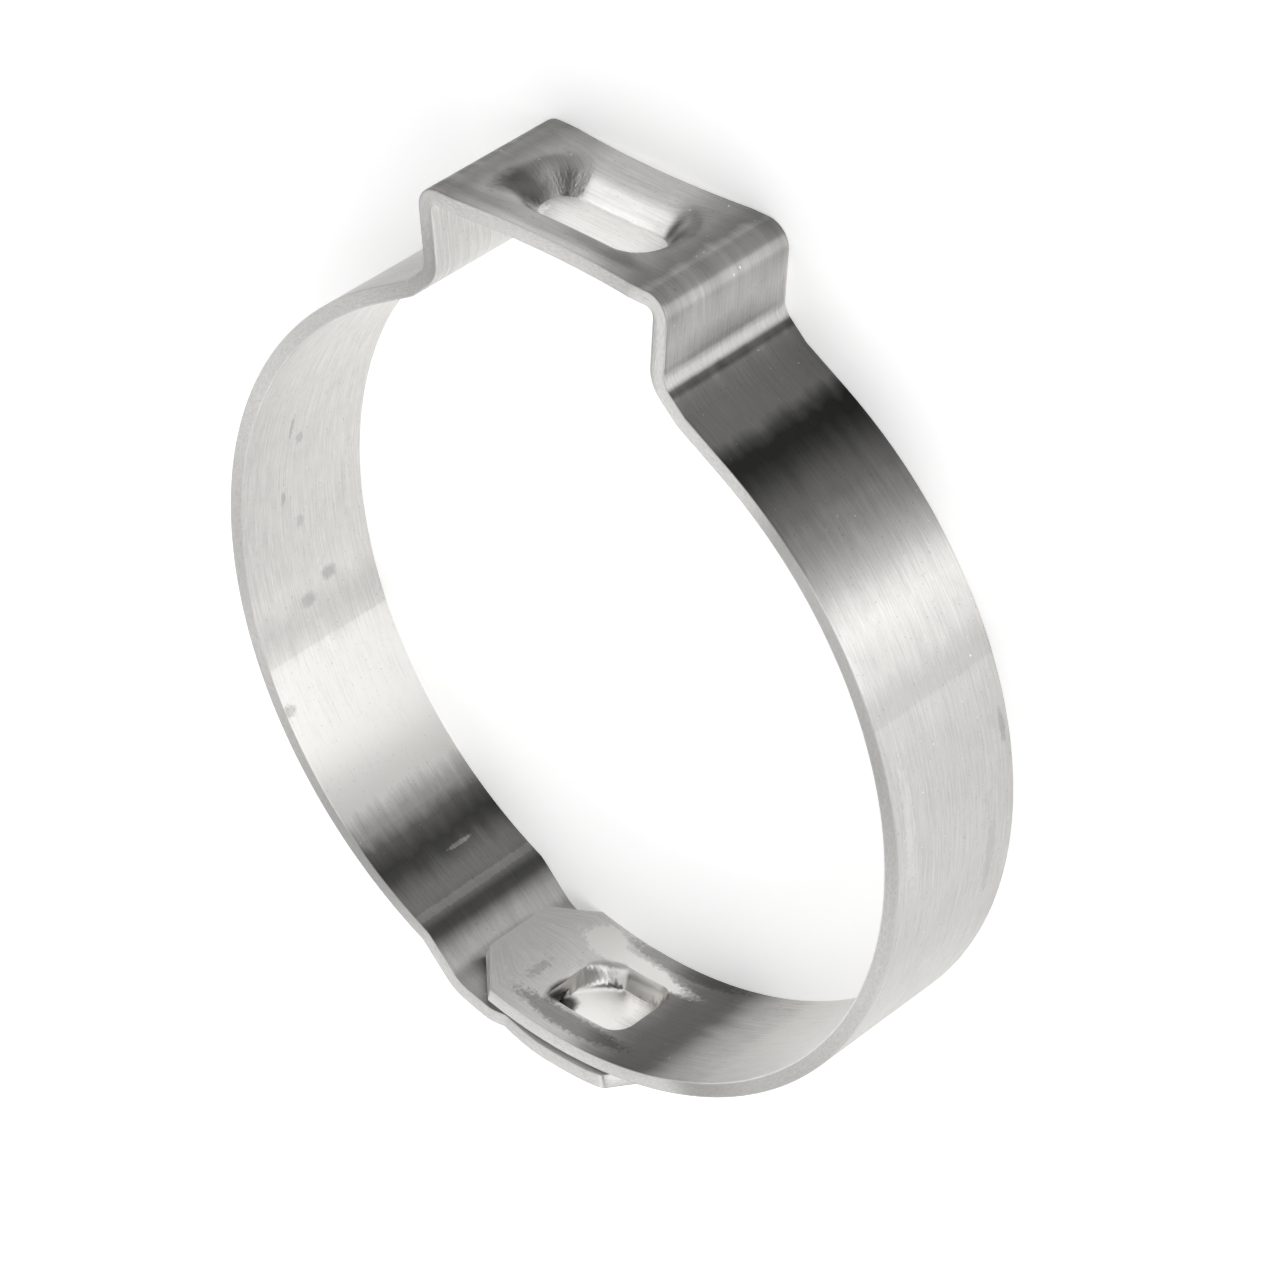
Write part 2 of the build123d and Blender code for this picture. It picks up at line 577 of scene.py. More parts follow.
    def _drawn(self, flat: np.ndarray) -> np.ndarray:
        """Measure the hook, whose heel closes in a quarter circle at the lanced end.

        Args:
            flat: Places on the flat strip.

        Returns:
            How far the hook stands out at each place.
        """
        hook, side = self.hook, self.hook.width / 2
        along, across = flat[:, 0] - self.hook_start, flat[:, 1]
        inside = inset(along, across, (hook.length, side), hook.corner) / hook.draft
        run = np.clip(along / hook.heel, 0.0, 1.0)
        closed = (1.0 - np.sqrt(1.0 - (1.0 - run) ** 2)) * (hook.slit_start + side)
        slope = (across + side - closed) / (hook.draft + hook.heel_slope * (1.0 - run))
        return hook.depth * smooth(np.minimum(inside, slope))

    def _sunk(self, flat: np.ndarray) -> np.ndarray:
        """Measure the dimple, which slopes smoothly from its outline to its floor.

        Args:
            flat: Places on the flat strip.

        Returns:
            How deep the dimple is at each place.
        """
        dimple = self.dimple
        along, across = flat[:, 0] - self.path.ear_middle, flat[:, 1]
        half = (dimple.length / 2, dimple.width / 2)
        floor = (dimple.floor_length / 2, dimple.floor_width / 2)
        down = np.maximum(inset(along, across, half, dimple.corner), 0.0)
        up = np.maximum(-inset(along, across, floor, dimple.floor_corner), 0.0)
        return dimple.depth * smooth(down / np.maximum(down + up, NEVER_ZERO))

    def _taper(self, flat: np.ndarray) -> np.ndarray:
        """Cut the corners off the strip's ends and pinch the ear.

        Args:
            flat: Places on the flat strip.

        Returns:
            Each vertex's place across the strip afterwards.
        """
        full = self.width / 2
        to_end = np.minimum(flat[:, 0], self.path.length - flat[:, 0])
        half = full - np.maximum(self.corner_cut - to_end, 0.0)
        pinch = 1.0 - (2.0 * (flat[:, 0] - self.path.ear_middle) / self.waist.length) ** 2
        half -= self.waist.depth * np.maximum(pinch, 0.0)
        return flat[:, 1] * half / full

    def build(self, metal: bpy.types.Material) -> bpy.types.Object:
        """Make the strip.

        Args:
            metal: Its material.

        Returns:
            The finished object, in metres.
        """
        blank = self._blank()
        mesh = blank.data
        flat = positions(mesh)
        lift = self._press(flat, self._beyond_slit(mesh))
        across = self._taper(flat)
        self._lay_out(mesh, flat)
        pressed = mesh.attributes.new(PRESSED_VALUE, "FLOAT", "POINT")
        pressed.data.foreach_set("value", np.abs(lift) / self.dimple.depth)
        bent = np.empty_like(flat)
        for i, (along, height, out) in enumerate(zip(flat[:, 0], across, lift)):
            point, away = self.path.place(float(along))
            spot = point + away * float(out)
            bent[i] = (spot.x, spot.y, height + self.width / 2)
        mesh.vertices.foreach_set("co", (bent * MM).ravel())
        mesh.update()
        self._thicken(blank)
        self._round_edges(blank)
        mesh.materials.append(metal)
        return blank

    @staticmethod
    def _lay_out(mesh: bpy.types.Mesh, flat: np.ndarray) -> None:
        """Keep each vertex's place on the flat strip as a UV map, in millimetres.

        Args:
            mesh: The strip's mesh.
            flat: Places on the flat strip.
        """
        layer = mesh.uv_layers[0] if mesh.uv_layers else mesh.uv_layers.new(name=FLAT_MAP)
        layer.name = FLAT_MAP
        corners = np.empty(len(mesh.loops), int)
        mesh.loops.foreach_get("vertex_index", corners)
        layer.data.foreach_set("uv", flat[corners, :2].ravel())

    def _thicken(self, blank: bpy.types.Object) -> None:
        """Give the bent sheet its thickness.

        Args:
            blank: The strip.
        """
        mesh = blank.data
        border = self._face_outwards(mesh)
        count = len(mesh.vertices)
        solid = blank.modifiers.new("thickness", "SOLIDIFY")
        solid.thickness = self.path.thickness * MM
        solid.offset = 1.0
        solid.use_even_offset = True
        solid.use_quality_normals = True
        apply_modifiers(blank)
        self._tell_skins(mesh, count, border)

    @staticmethod
    def _face_outwards(mesh: bpy.types.Mesh) -> set[tuple[int, ...]]:
        """Turn the sheet's faces away from the bore.

        Args:
            mesh: The bent sheet.

        Returns:
            The vertex pairs of the edges on its border.
        """
        sheet = bmesh.new()
        sheet.from_mesh(mesh)
        bmesh.ops.recalc_face_normals(sheet, faces=sheet.faces)
        sheet.faces.ensure_lookup_table()
        probe = sheet.faces[0]
        if probe.normal.xy.dot(probe.calc_center_median().xy) < 0:
            bmesh.ops.reverse_faces(sheet, faces=sheet.faces)
        edges = [edge for edge in sheet.edges if edge.is_boundary]
        border = {tuple(sorted(vert.index for vert in edge.verts)) for edge in edges}
        sheet.to_mesh(mesh)
        sheet.free()
        return border

    def _tell_skins(
        self, mesh: bpy.types.Mesh, count: int, border: set[tuple[int, ...]]
    ) -> None:
        """Write on each vertex which face it lies on, and on each rim edge how far it is rounded.

        Args:
            mesh: The thickened strip, which has the sheet's vertices before their copies.
            count: How many vertices the sheet had.
            border: The vertex pairs of the edges on the sheet's border.
        """
        reach = np.hypot(*positions(mesh)[:, :2].T)
        outer_first = reach[:count].sum() > reach[count:].sum()
        sides = [Skin.OUTER, Skin.INNER] if outer_first else [Skin.INNER, Skin.OUTER]
        skins = np.repeat([side.value for side in sides], (count, len(reach) - count))
        skin = mesh.attributes.new(SKIN_VALUE, "FLOAT", "POINT")
        skin.data.foreach_set("value", skins)

        rounding = {Skin.OUTER: 1.0, Skin.INNER: self.rim.inner / self.rim.outer}
        weight = mesh.attributes.new("bevel_weight_edge", "FLOAT", "EDGE")
        for edge in mesh.edges:
            ends = tuple(sorted(edge.vertices))
            if ends in border:
                weight.data[edge.index].value = rounding[sides[0]]
            elif tuple(end - count for end in ends) in border:
                weight.data[edge.index].value = rounding[sides[1]]

    def _round_edges(self, blank: bpy.types.Object) -> None:
        """Round the strip's edges and shade it smooth.

        Args:
            blank: The strip.
        """
        rounding = blank.modifiers.new("edges", "BEVEL")
        rounding.limit_method = "WEIGHT"
        rounding.width = self.rim.outer * MM
        rounding.segments = self.rim.steps
        rounding.use_clamp_overlap = True
        apply_modifiers(blank)
        choose(blank)
        bpy.ops.object.shade_smooth_by_angle(angle=math.radians(self.rim.smooth_angle))


@dataclass
class NodeBench:
    """Short ways to add and join a material's nodes."""

    tree: bpy.types.NodeTree

    def add(self, kind: str, **settings: object) -> bpy.types.Node:
        """Add a node.

        Args:
            kind: Its type, less the word ShaderNode.
            **settings: Its properties.

        Returns:
            The node.
        """
        node = self.tree.nodes.new(f"ShaderNode{kind}")
        for name, value in settings.items():
            setattr(node, name, value)
        return node

    def plug(self, value: object, socket: Socket) -> None:
        """Join an output to a socket, or write a plain value on it.

        Args:
            value: The output or the value.
            socket: The input.
        """
        if isinstance(value, Socket):
            self.tree.links.new(value, socket)
        else:
            socket.default_value = value

    def fill(self, node: bpy.types.Node, *values: object) -> bpy.types.Node:
        """Plug values into a node's first inputs.

        Args:
            node: The node.
            *values: Outputs or plain values, in order.

        Returns:
            The node.
        """
        for value, socket in zip(values, node.inputs):
            self.plug(value, socket)
        return node

    def math(self, operation: str, *values: object) -> Socket:
        """Return the result of a math node."""
        return self.fill(self.add("Math", operation=operation), *values).outputs[0]

    def product(self, *values: object) -> Socket:
        """Multiply values.

        Args:
            *values: Two or more outputs or plain values.

        Returns:
            Their product.
        """
        result = values[0]
        for value in values[1:]:
            result = self.math("MULTIPLY", result, value)
        return result

    def swing(self, value: Socket, reach: float, middle: float) -> Socket:
        """Return a value from 0 to 1 carried to a range round its middle."""
        return self.math("MULTIPLY_ADD", value, reach, middle - reach / 2)

    def arch(self, value: Socket) -> Socket:
        """Return 1 where a value is halfway from 0 to 1, falling to 0 at both ends."""
        return self.product(value, self.math("SUBTRACT", 1.0, value), 4.0)

    def vector(self, operation: str, *values: object) -> bpy.types.Node:
        """Return a vector math node."""
        return self.fill(self.add("VectorMath", operation=operation), *values)

    def mix(self, share: Socket, first: Socket, second: Socket) -> Socket:
        """Return a value between two others.

        Args:
            share: How much of the second one it holds.
            first: The first value.
            second: The second value.

        Returns:
            The mixed value.
        """
        node = self.add("Mix", data_type="FLOAT")
        for value, number in ((share, 0), (first, 2), (second, 3)):
            self.plug(value, node.inputs[number])
        return node.outputs[0]

    def span(
        self, value: Socket, low: float, high: float, start: float = 0.0, end: float = 1.0
    ) -> Socket:
        """Carry a value smoothly from one range to another.

        Args:
            value: The value.
            low: Start of the range that it is read in.
            high: End of that range.
            start: What is returned at the low end.
            end: What is returned at the high end.

        Returns:
            The carried value.
        """
        node = self.add("MapRange", interpolation_type="SMOOTHSTEP")
        return self.fill(node, value, low, high, start, end).outputs[0]

    def ramp(self, value: Socket, stops: list[tuple[float, float]]) -> Socket:
        """Read a value off a grey ramp.

        Args:
            value: Where to read, from 0 to 1.
            stops: Place and level of each stop.

        Returns:
            The level there.
        """
        node = self.add("ValToRGB")
        node.color_ramp.interpolation = "EASE"
        marks = node.color_ramp.elements
        while len(marks) < len(stops):
            marks.new(0.0)
        ordered = sorted(stops)
        for i in reversed(range(len(ordered))):
            marks[i].position = ordered[i][0]
        for mark, (_, level) in zip(marks, ordered):
            mark.color = (level, level, level, 1.0)
        return self.fill(node, value).outputs[0]


@dataclass(frozen=True)
class Grain:
    """A noise on the flat strip: its stretch each way, its make and how far it swings the tone."""

    along: float
    across: float
    scale: float
    detail: float
    rough: float
    swing: float = 0.0
    turned: bool = False


@dataclass(frozen=True)
class Scatter:
    """Spots where a grain runs high: where they begin, where they are full, and their tone."""

    grain: Grain
    begin: float
    full: float
    level: float


@dataclass(frozen=True)
class Mark:
    """A patch painted lighter or darker, mostly painted shade, highlight or reflection, its middle
    and half sizes given on the flat strip.
    """

    skin: Skin
    along: float
    across: float
    length: float
    width: float
    level: float
    ragged: float = 0.5
    edge: float = 0.5


@dataclass
class StripNodes:
    """What a finish reads at each point of the strip."""

    bench: NodeBench
    face_gap: float
    noises: dict[Grain, Socket] = field(default_factory=dict)

    def __post_init__(self) -> None:
        """Read the place on the flat strip, the face and how far the press has moved it."""
        bench = self.bench
        self.flat: Socket = bench.add("UVMap", uv_map=FLAT_MAP).outputs[0]
        parts = bench.fill(bench.add("SeparateXYZ"), self.flat).outputs
        self.along, self.across = parts[0], parts[1]
        self.skin: Socket = bench.add("Attribute", attribute_name=SKIN_VALUE).outputs["Fac"]
        self.pressed: Socket = bench.add("Attribute", attribute_name=PRESSED_VALUE).outputs["Fac"]
        self.layer = bench.product(self.skin, self.face_gap)

    def noise(self, grain: Grain) -> Socket:
        """Make a grain's noise, once, unlike on the two faces.

        Args:
            grain: The grain.

        Returns:
            The noise, from 0 to 1.
        """
        if grain not in self.noises:
            bench = self.bench
            along = bench.product(self.along, grain.along)
            across = bench.product(self.across, grain.across)
            ways = (across, along) if grain.turned else (along, across)
            node = bench.add("TexNoise")
            place = bench.fill(bench.add("CombineXYZ"), *ways, self.layer).outputs[0]
            bench.plug(place, node.inputs["Vector"])
            node.inputs["Scale"].default_value = grain.scale
            node.inputs["Detail"].default_value = grain.detail
            node.inputs["Roughness"].default_value = grain.rough
            self.noises[grain] = node.outputs[0]
        return self.noises[grain]


@dataclass(frozen=True)
class BrushedSteel:
    """Finish of the strip: rolled stainless steel, brushed lengthwise and marked by the press.

    The painted reflections are bands of light and dark written into the steel's colour along the
    strip in place of reflections of the room, as shares of its plain tone. Those of the outer
    face, the inner face and the inner face from the tip on go by the angle on the ring, that of
    the ear by the distance from its middle and that of the rims by the distance from the tip. The
    lap's one stop lies a share of the strip's length past its angle, beyond the joggle.
    """

    path: StripPath
    tone: tuple[float, float, float] = (0.62, 0.612, 0.597)
    brightest: float = 1.55
    roughness: float = 0.44
    roughness_swing: float = 0.12
    spread: float = 1.0
    brushing_turn: float = 0.25
    face_gap: float = 7.0
    drift: float = 1.1
    stray: float = 2.4
    rim_blend: float = 0.5
    polished_at: float = 0.35
    polish: float = 0.12
    polish_spread: float = 0.7
    crinkle: float = 22.0
    crinkle_start: float = 1.7
    crinkle_full: float = 2.6
    relief: float = 0.25
    relief_depth: float = 0.02
    wander: Grain = Grain(0.3, 1.2, 1.0, 1.5, 0.6)
    lines: Grain = Grain(0.35, 14.0, 1.0, 4.0, 0.7, swing=0.66)
    fine: Grain = Grain(1.4, 30.0, 1.0, 2.0, 0.7, swing=0.3)
    mottle: Grain = Grain(1.0, 1.0, 0.9, 5.0, 0.6, swing=0.16)
    grit: Grain = Grain(1.0, 1.0, 4.5, 4.0, 0.7)
    specks: Scatter = Scatter(Grain(1.0, 1.0, 7.0, 2.0, 0.5), 0.66, 0.72, 0.78)
    sparks: Scatter = Scatter(Grain(1.0, 1.0, 5.0, 2.0, 0.5, turned=True), 0.73, 0.76, 2.2)
    pores: Scatter = Scatter(mottle, 0.56, 0.7, 0.93)
    # Stop of the inner face's painted reflection on the lap: its angle, its shift and its level
    lap_angle: float = 242.0
    lap_share: float = 0.035
    lap_painted_level: float = 1.1
    # Painted reflections, light and dark, in the rims' colour by distance from the tip
    rim_painted_reflection: Stops = (
        (0.0, 1.4), (11.0, 1.4), (13.5, 0.75), (18.0, 0.9), (28.0, 1.05), (35.0, 1.0),
        (41.0, 0.8), (47.0, 0.75), (50.0, 1.3), (56.0, 1.4), (68.0, 1.4), (73.0, 0.85),
        (80.0, 1.0), (90.0, 1.1), (99.0, 1.0), (106.0, 0.75), (111.0, 0.75), (117.0, 1.3),
        (127.0, 1.4),
    )
    # Painted reflections, light and dark, in the outer face's colour by angle on the ring
    outer_painted_reflection: Stops = (
        (-60.0, 1.0), (-20.0, 1.08), (10.0, 1.15), (18.0, 1.02), (24.0, 1.02), (28.0, 1.3),
        (34.0, 1.52), (37.0, 1.38), (40.0, 1.1), (46.0, 0.67), (49.0, 0.46), (52.0, 0.3),
        (54.5, 0.14), (56.0, 0.07), (59.3, 0.07), (61.0, 0.42),
    )
    # Painted reflections, light and dark, in the ear's colour by distance from its middle
    ear_painted_reflection: Stops = (
        (-10.1, 0.44), (-9.5, 1.0), (-7.0, 1.18), (-5.9, 0.9), (-5.0, 0.36), (-3.6, 0.6),
        (-1.5, 1.05), (1.5, 1.05), (3.8, 0.7), (5.2, 0.42), (6.2, 1.0),
    )
    # Painted reflections, light and dark, in the inner face's colour by angle on the ring
    inner_painted_reflection: Stops = (
        (121.0, 1.32), (160.0, 1.38), (192.0, 1.38), (198.0, 1.08), (204.0, 1.36), (224.0, 1.48),
        (228.5, 0.8), (232.0, 0.24), (235.0, 0.13), (238.0, 0.36), (240.0, 0.55), (243.5, 0.4),
    )
    # Painted reflections, light and dark, in the inner face's colour from the tip on, by angle on
    # the ring
    tip_painted_reflection: Stops = (
        (251.5, 1.1), (262.0, 1.3), (270.0, 1.1), (276.0, 0.45), (279.0, 0.32), (285.0, 0.34),
        (288.0, 0.7), (290.0, 1.1), (294.0, 1.3), (300.0, 1.55), (350.0, 1.5), (400.0, 1.2),
    )

    @property
    def marks(self) -> tuple[Mark, ...]:
        """Patches of painted shade, painted highlights and painted reflections, with small dark
        spots, those of the inner face first.
        """
        inner, outer = Skin.INNER, Skin.OUTER
        ring, ear = self.path.around, self.path.ear_middle
        joggle = self.path.start_of(RunNumber.JOGGLE)
        throat = self.path.start_of(RunNumber.THROAT)
        # Painted shade along the joggle's and throat's creases and in the hook's mouth, painted
        # highlights and reflections on the hook, the ear and the bands' edges, and small dark
        # spots
        return (
            Mark(inner, joggle + 0.55, 0.0, 0.4, 9.0, 0.42, 0.08, 1.3),
            Mark(inner, joggle - 0.25, 0.0, 0.2, 9.0, 1.4, 0.7),
            Mark(inner, joggle + 1.9, 0.0, 0.6, 9.0, 1.5, 0.2, 1.0),
            Mark(inner, ring(236.6), -0.7, 0.1, 0.7, 2.4, 0.9),
            Mark(inner, 5.2, -2.05, 2.5, 0.5, 2.2, 0.5, 0.8),
            Mark(inner, 7.0, -1.95, 1.7, 0.3, 2.0, 0.6, 0.7),
            Mark(inner, 3.0, -2.4, 0.9, 0.8, 1.4, 0.5),
            Mark(inner, 5.4, 0.1, 1.9, 1.5, 1.5, 0.2),
            Mark(inner, 3.78, 1.2, 0.5, 0.85, 0.1, 0.15, 0.7),
            Mark(inner, 5.4, 2.5, 2.9, 0.5, 0.5, 0.6),
            Mark(inner, 2.2, 1.0, 0.22, 0.7, 0.76, 1.6, 0.9),
            Mark(inner, 6.8, -3.2, 3.2, 0.4, 0.6, 0.6),
            Mark(inner, ring(165.5), 0.9, 0.6, 0.1, 0.76, 1.0),
            Mark(inner, ring(168.5), 0.3, 0.3, 0.2, 0.8, 1.3, 0.9),
            Mark(inner, ring(178.0), 1.1, 0.3, 0.12, 0.76, 1.2, 0.9),
            Mark(inner, ring(183.0), 0.2, 0.25, 0.2, 0.84, 1.3, 0.9),
            Mark(inner, ring(193.0), -0.9, 0.28, 0.4, 0.72, 0.6, 1.0),
            Mark(inner, ring(195.2), 0.5, 0.28, 0.4, 0.76, 0.6, 1.0),
            Mark(inner, ring(208.0), 3.3, 0.25, 0.3, 0.7, 0.8, 0.9),
            Mark(inner, ring(201.5) + 4.2, 0.0, 4.2, 60.0, 1.12, 0.02, 0.04),
            Mark(outer, ring(8.0), 2.7, 2.6, 0.3, 1.1, 1.0),
            Mark(outer, ring(-6.0), -2.2, 1.8, 0.26, 0.9, 1.0),
            Mark(outer, ring(12.0), -3.1, 0.7, 0.16, 0.8, 0.8),
            Mark(outer, ring(21.5) + 5.85, 0.0, 5.85, 60.0, 0.92, 0.02, 0.03),
            Mark(outer, throat - 0.1, 0.0, 0.2, 9.0, 0.4, 0.05, 1.2),
            Mark(outer, ear - 8.1, 0.2, 0.14, 2.9, 0.88, 1.3, 0.8),
            Mark(outer, ear - 3.4, 0.9, 0.4, 0.7, 0.4, 0.4, 1.0),
            Mark(outer, ear - 2.4, 2.5, 2.0, 0.4, 0.66, 0.1, 0.9),
            Mark(outer, ear - 0.2, -0.2, 3.5, 1.35, 1.42, 0.1, 0.7),
            Mark(outer, ear + 0.6, 2.75, 4.6, 0.45, 0.72, 0.1, 0.9),
            Mark(outer, ear + 3.0, 0.9, 0.5, 0.7, 2.3, 1.1, 0.6),
            Mark(outer, ear + 3.8, 0.7, 0.6, 1.2, 0.32, 0.3, 1.0),
        )

    def _read(self, bench: NodeBench, share: Socket, stops: list[tuple[float, float]]) -> Socket:
        """Read one band of painted reflection.

        Args:
            bench: Where its node is made.
            share: Where to read, as a share of the strip's length.
            stops: Distance from the tip and tone of each stop.

        Returns:
            The tone there, as a share of the brightest.
        """
        length, brightest = self.path.length, self.brightest
        return bench.ramp(share, [(place / length, level / brightest) for place, level in stops])

    def _reflection_bands(self, strip: StripNodes) -> Socket:
        """Tell how bright the bands of painted reflection make the steel, their ends straying a
        little.

        Args:
            strip: What is read from the strip.

        Returns:
            The tone, unlike on the two faces.
        """
        bench, path = strip.bench, self.path
        drift = bench.swing(strip.noise(self.wander), self.drift, 0.0)
        share = bench.product(bench.math("ADD", strip.along, drift), 1.0 / path.length)
        lap = path.around(self.lap_angle) + self.lap_share * path.length
        bands = self.inner_painted_reflection + self.tip_painted_reflection
        inner = [(path.around(angle), level) for angle, level in bands] + [(lap, self.lap_painted_level)]
        outer = [(path.around(angle), level) for angle, level in self.outer_painted_reflection]
        outer += [(path.ear_middle + shift, level) for shift, level in self.ear_painted_reflection]
        faces = [self._read(bench, share, stops) for stops in (inner, outer)]
        return bench.product(bench.mix(strip.skin, *faces), self.brightest)

    def _rim_reflection_and_grit(self, strip: StripNodes) -> Socket:
        """Tell how bright the sheared rims are: bands of painted reflection along the strip, with
        grit.

        Args:
            strip: What is read from the strip.

        Returns:
            The tone, gritty all over.
        """
        bench = strip.bench
        share = bench.product(strip.along, 1.0 / self.path.length)
        grit = bench.swing(strip.noise(self.grit), self.brightest, self.brightest)
        return bench.product(self._read(bench, share, list(self.rim_painted_reflection)), grit)

    def _painted_patch(self, strip: StripNodes, mark: Mark) -> Socket:
        """Tell how much one patch of painted shade, highlight or reflection brightens or darkens
        the steel.

        Args:
            strip: What is read from the strip.
            mark: The mark.

        Returns:
            The factor on the tone, which is 1 outside the mark.
        """
        bench = strip.bench
        aside = bench.vector("SUBTRACT", strip.flat, (mark.along, mark.across, 0.0)).outputs[0]
        sizes = (1.0 / mark.length, 1.0 / mark.width, 0.0)
        scaled = bench.vector("MULTIPLY", aside, sizes).outputs[0]
        size = bench.vector("LENGTH", scaled).outputs["Value"]
        stray = bench.math("SUBTRACT", strip.noise(self.grit), 0.5)
        reach = bench.math("MULTIPLY_ADD", stray, mark.ragged * self.stray, size)
        cover = bench.span(reach, 1.0 - mark.edge / 2, 1.0 + mark.edge / 2, 1.0, 0.0)
        side = strip.skin if mark.skin is Skin.OUTER else bench.math("SUBTRACT", 1.0, strip.skin)
        return bench.math("MULTIPLY_ADD", bench.product(cover, side), mark.level - 1.0, 1.0)

    def _level(self, strip: StripNodes) -> Socket:
        """Tell how bright the steel is with its painted reflections, painted patches, grains,
        spots and rims.

        Args:
            strip: What is read from the strip.

        Returns:
            The tone, never above the brightest.
        """
        bench = strip.bench
        factors = [self._painted_patch(strip, mark) for mark in self.marks]
        for grain in (self.lines, self.fine, self.mottle):
            factors.append(bench.swing(strip.noise(grain), grain.swing, 1.0))
        for spots in (self.specks, self.sparks, self.pores):
            noise = strip.noise(spots.grain)
            factors.append(bench.span(noise, spots.begin, spots.full, 1.0, spots.level))
        level = bench.product(self._reflection_bands(strip), *factors)
        rim = bench.span(bench.arch(strip.skin), 0.0, self.rim_blend)
        return bench.math("MINIMUM", bench.mix(rim, level, self._rim_reflection_and_grit(strip)), self.brightest)

    def _relief(self, strip: StripNodes) -> Socket:
        """Raise the brushing, and crinkle the dimple's far wall.

        Args:
            strip: What is read from the strip.

        Returns:
            The normal of the uneven surface.
        """
        bench = strip.bench
        past_ear = bench.math("SUBTRACT", strip.along, self.path.ear_middle)
        end = bench.span(past_ear, self.crinkle_start, self.crinkle_full)
        grit = bench.product(strip.noise(self.grit), self.crinkle)
        crinkle = bench.product(bench.product(bench.arch(strip.pressed), end), grit)
        brushing = bench.math("ADD", strip.noise(self.lines), strip.noise(self.fine))
        bump = bench.add("Bump")
        bump.inputs["Strength"].default_value = self.relief
        bump.inputs["Distance"].default_value = self.relief_depth * MM
        bench.plug(bench.math("ADD", brushing, crinkle), bump.inputs["Height"])
        return bump.outputs[0]

    def material(self) -> bpy.types.Material:
        """Return the finish as a material."""
        metal = bpy.data.materials.new("brushed_steel")
        metal.use_nodes = True
        bench = NodeBench(metal.node_tree)
        strip = StripNodes(bench, self.face_gap)
        shader = metal.node_tree.nodes["Principled BSDF"]
        shader.inputs["Metallic"].default_value = 1.0
        shader.inputs["Anisotropic Rotation"].default_value = self.brushing_turn
        brushing = bench.add("Tangent", direction_type="RADIAL", axis="Z")
        shade = bench.vector("SCALE", self.tone)
        bench.plug(self._level(strip), shade.inputs["Scale"])
        polished = bench.span(strip.pressed, 0.0, self.polished_at)
        matt = bench.swing(strip.noise(self.fine), self.roughness_swing, self.roughness)
        finish = {
            "Base Color": shade.outputs[0],
            "Roughness": bench.math("MULTIPLY_ADD", polished, -self.polish, matt),
            "Anisotropic": bench.math("MULTIPLY_ADD", polished, -self.polish_spread, self.spread),
            "Tangent": brushing.outputs["Tangent"],
            "Normal": self._relief(strip),
        }
        for name, value in finish.items():
            bench.plug(value, shader.inputs[name])
        return metal


@dataclass(frozen=True)
class Paper:
    """Finish of the floor: plain white, with a glow where it is seen or shows in the steel."""

    roughness: float = 1.0
    glow: float = 0.3

    def material(self) -> bpy.types.Material:
        """Return the finish as a material."""
        paper = bpy.data.materials.new("paper")
        paper.use_nodes = True
        bench = NodeBench(paper.node_tree)
        shader = paper.node_tree.nodes["Principled BSDF"]
        shader.inputs["Base Color"].default_value = WHITE
        shader.inputs["Roughness"].default_value = self.roughness
        shader.inputs["Specular IOR Level"].default_value = 0.0
        rays = bench.add("LightPath").outputs
        seen = rays["Is Camera Ray"]
        for kind in ("Is Glossy Ray", "Is Transmission Ray"):
            seen = bench.math("MAXIMUM", seen, rays[kind])
        glow = bench.add("Emission")
        bench.plug(bench.product(seen, self.glow), glow.inputs["Strength"])
        both = bench.fill(bench.add("AddShader"), shader.outputs[0], glow.outputs[0])
        bench.plug(both.outputs[0], paper.node_tree.nodes["Material Output"].inputs["Surface"])
        return paper


@dataclass(frozen=True)
class Lamp:
    """A softbox that looks at the middle of the ring, its sizes in metres."""

    name: str
    azimuth: float
    elevation: float
    width: float
    height: float
    glow: float


@dataclass(frozen=True)
class Camera:
    """The camera over the ear's side of the ring, its place in metres."""

    place: tuple[float, float, float] = (0.1320206, 0.1409834, 0.1458824)
    turn: tuple[float, float, float] = (-36.29214, 42.06449, -0.75790)
    lens: float = 167.614
    film: float = 36.0
    nearest: float = 0.01


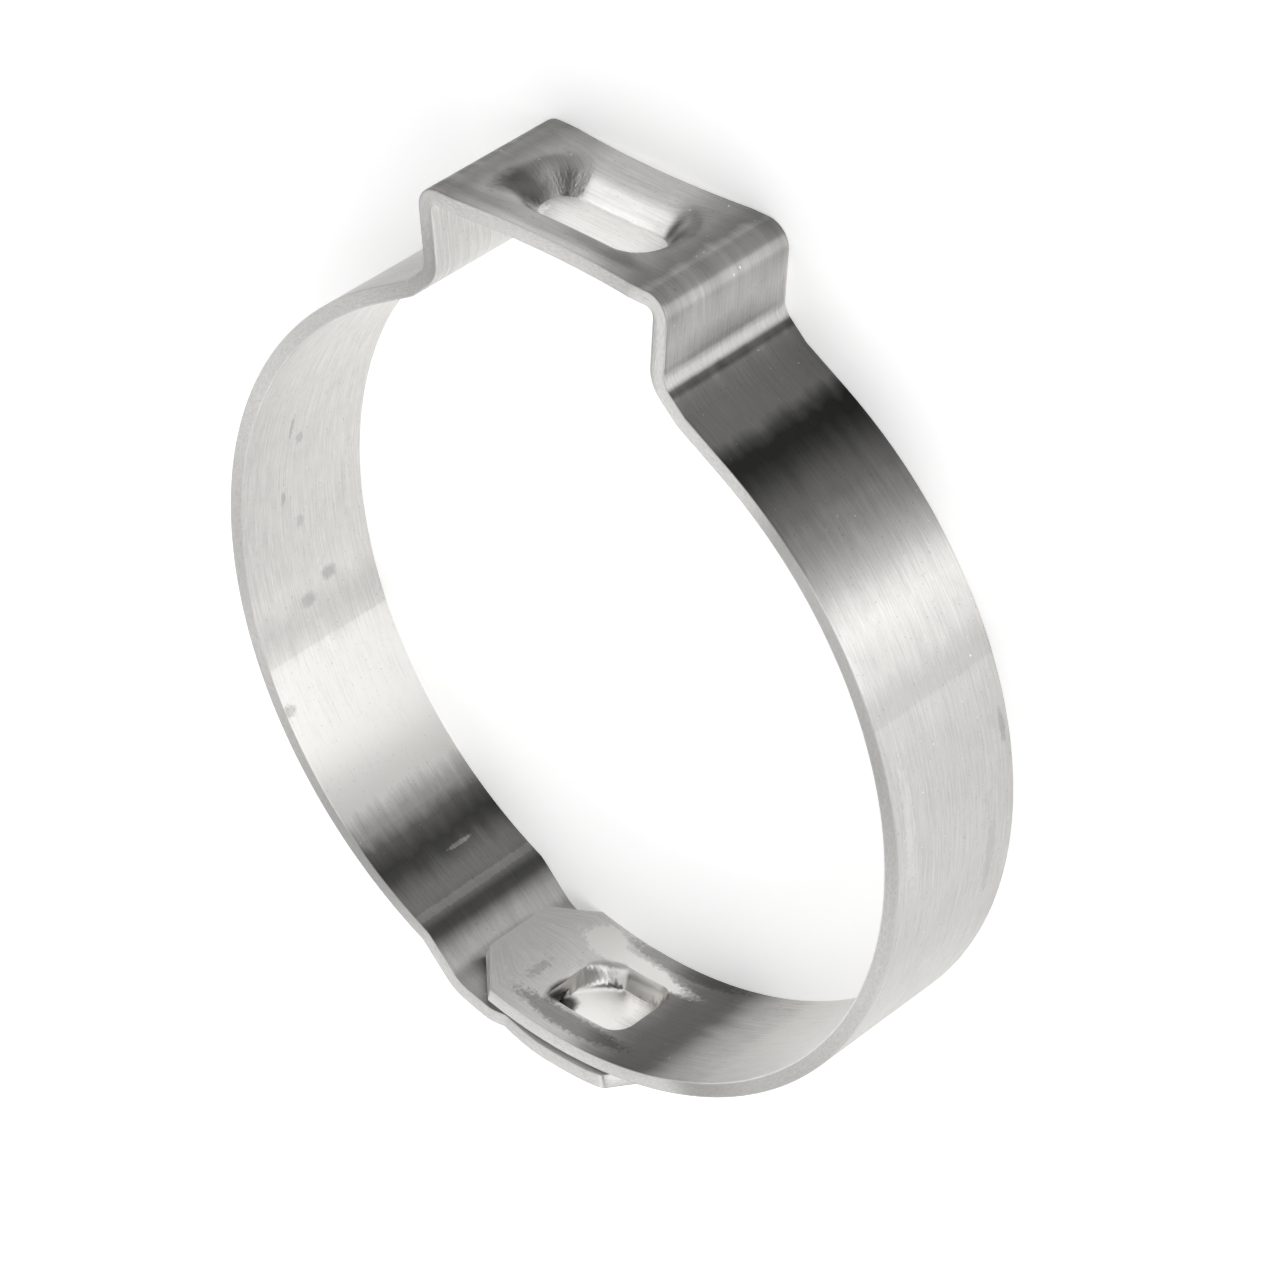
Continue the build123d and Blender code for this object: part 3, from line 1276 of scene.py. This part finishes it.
@dataclass
class Studio:
    """Pale floor, soft lamps and camera, with sizes in metres."""

    lamps: tuple[Lamp, ...] = (
        *(Lamp(f"softbox_{i + 1}", 199.0 + 42.0 * i, 28.0, 0.42, 0.5, 1.05) for i in range(4)),
        Lamp("softbox_5", 9.0, 24.0, 0.46, 0.6, 1.9),
        Lamp("kicker", 131.0, 30.0, 0.3, 0.3, 1.9),
        Lamp("top", 245.0, 85.0, 0.6, 0.6, 1.5),
    )
    camera: Camera = field(default_factory=Camera)
    paper: Paper = field(default_factory=Paper)
    reach: float = 0.6
    room: float = 0.02
    floor_size: float = 4.0
    middle: tuple[float, float, float] = (0.0, 0.001, 0.0035)

    def build(self) -> None:
        """Lay the floor, set the lamps and the camera."""
        bpy.ops.mesh.primitive_plane_add(size=self.floor_size)
        floor = bpy.context.object
        floor.name = "floor"
        floor.data.materials.append(self.paper.material())
        for lamp in self.lamps:
            self._hang(lamp)
        self._fill_room()
        self._set_camera()

    def _hang(self, lamp: Lamp) -> None:
        """Hang one softbox.

        Args:
            lamp: The softbox.
        """
        turn, rise = math.radians(lamp.azimuth), math.radians(lamp.elevation)
        flat = math.cos(rise)
        away = Vector((math.cos(turn) * flat, math.sin(turn) * flat, math.sin(rise)))
        place = Vector(self.middle) + away * self.reach
        bpy.ops.object.light_add(type="AREA", location=place)
        light = bpy.context.object
        light.name = lamp.name
        light.rotation_euler = away.to_track_quat("Z", "Y").to_euler()
        light.data.shape = "RECTANGLE"
        light.data.size, light.data.size_y = lamp.width, lamp.height
        light.data.energy = lamp.glow * math.pi * lamp.width * lamp.height

    def _fill_room(self) -> None:
        """Fill the room with a little even light."""
        world = bpy.data.worlds.new("room")
        bpy.context.scene.world = world
        world.use_nodes = True
        background = world.node_tree.nodes["Background"]
        background.inputs["Color"].default_value = WHITE
        background.inputs["Strength"].default_value = self.room

    def _set_camera(self) -> None:
        """Set the camera and the plain view that it is seen in."""
        bpy.ops.object.camera_add(location=self.camera.place)
        camera = bpy.context.object
        camera.name = "camera"
        turn = tuple(math.radians(angle) for angle in self.camera.turn)
        camera.rotation_euler = Euler(turn, "XYZ")
        camera.data.sensor_width = self.camera.film
        camera.data.lens = self.camera.lens
        camera.data.clip_start = self.camera.nearest
        bpy.context.scene.camera = camera
        bpy.context.scene.view_settings.view_transform = "Standard"


def main() -> None:
    """Build the dressed clamp and its studio."""
    logging.basicConfig(level=logging.INFO, format="%(name)s %(message)s")
    path = StripPath()
    band = ClampBand(path).build(BrushedSteel(path).material())
    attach(band, "root")
    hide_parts("clamp_band")
    log.info("strip: %d faces", len(band.data.polygons))
    Studio().build()


if __name__ == "__main__":
    main()
